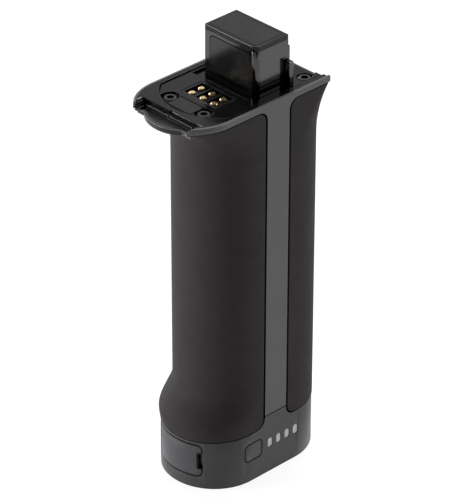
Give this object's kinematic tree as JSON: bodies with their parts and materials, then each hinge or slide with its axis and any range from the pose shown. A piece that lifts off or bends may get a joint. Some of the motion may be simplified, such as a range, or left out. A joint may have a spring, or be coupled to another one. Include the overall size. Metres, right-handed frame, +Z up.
{
  "type": "gimbal battery grip",
  "caption": "Upright rubber covered battery handle with a charging base, a hinged socket cover and a dock with spring contacts and a guide block on top.",
  "frame": {"origin": "middle of the base's underside, at the mouth of the camera thread", "axes": "+Z up along the handle, -Y to the front with the nose and the charging socket, +X to the side with the power button and the level lights"},
  "size_m": [0.044, 0.0782, 0.1938],
  "materials": {
    "shell_grey": "satin paint, fine grain",
    "base_grey": "satin paint, fine grain",
    "grip_rubber": "matt with a fine leather grain",
    "deck_black": "fine matt texture",
    "block_grey": "satin",
    "label_dark": "smooth blank film",
    "contact_gold": "gold plated",
    "screw_black": "black oxide",
    "foot_black": "matt",
    "seal_rubber": "matt",
    "brass_bush": "turned",
    "steel_small": "bright",
    "light_window": "milky, clear",
    "light_chip": "matt",
    "board_green": "solder mask",
    "inner_black": "matt",
    "cell_pouch": "foil laminate",
    "foam_grey": "soft foam",
    "nickel_tab": "bright",
    "lead_black": "smooth sleeve",
    "lead_red": "smooth sleeve"
  },
  "bodies": {
    "grip": {"chassis": "shell_grey", "base_housing": "base_grey", "front_grip": "grip_rubber", "rear_grip": "grip_rubber", "top_plate": "deck_black", "nose_catch": "deck_black", "deck_insert": "deck_black", "front_pad": "deck_black", "contact_carrier": "deck_black", "guide_block": "block_grey", "block_panel": "block_grey", "block_cap": "block_grey", "guide_post_left": "block_grey", "guide_post_right": "block_grey", "blank_label": "label_dark", "contact_1": "contact_gold", "contact_2": "contact_gold", "contact_3": "contact_gold", "contact_4": "contact_gold", "contact_5": "contact_gold", "contact_6": "contact_gold", "front_screws": "screw_black", "rear_screws": "screw_black", "foot_screws": "screw_black", "frame_screws": "screw_black", "foot_plate": "foot_black", "base_seal": "seal_rubber", "tripod_bush": "brass_bush", "cover_pin": "steel_small", "charge_socket": "steel_small", "light_guide": "light_window", "level_lights": "light_chip", "charge_board": "board_green", "contact_board": "board_green", "protection_board": "board_green", "power_switch": "inner_black", "cell_frame": "inner_black", "battery_cell_1": "cell_pouch", "battery_cell_2": "cell_pouch", "battery_cell_3": "cell_pouch", "battery_cell_4": "cell_pouch", "foam_pad_1": "foam_grey", "foam_pad_2": "foam_grey", "foam_pad_3": "foam_grey", "negative_tabs": "nickel_tab", "positive_tabs": "nickel_tab", "charge_lead_negative": "lead_black", "contact_lead_negative": "lead_black", "charge_lead_positive": "lead_red", "contact_lead_positive": "lead_red"},
    "power_button": {"power_button": "base_grey"},
    "socket_cover": {"socket_cover": "base_grey"}
  },
  "joints": [
    {"name": "power_press", "type": "slide", "parent": "grip", "child": "power_button", "axis": [-1, 0, 0], "range_m": [0, 0.0004], "stiffness_N_per_m": 3000, "springref_m": -0.0005},
    {"name": "cover_hinge", "type": "hinge", "parent": "grip", "child": "socket_cover", "pos_m": [-0.0121, -0.02927, 0.01345], "axis": [0, 0, -1], "range_deg": [0, 100]}
  ]
}
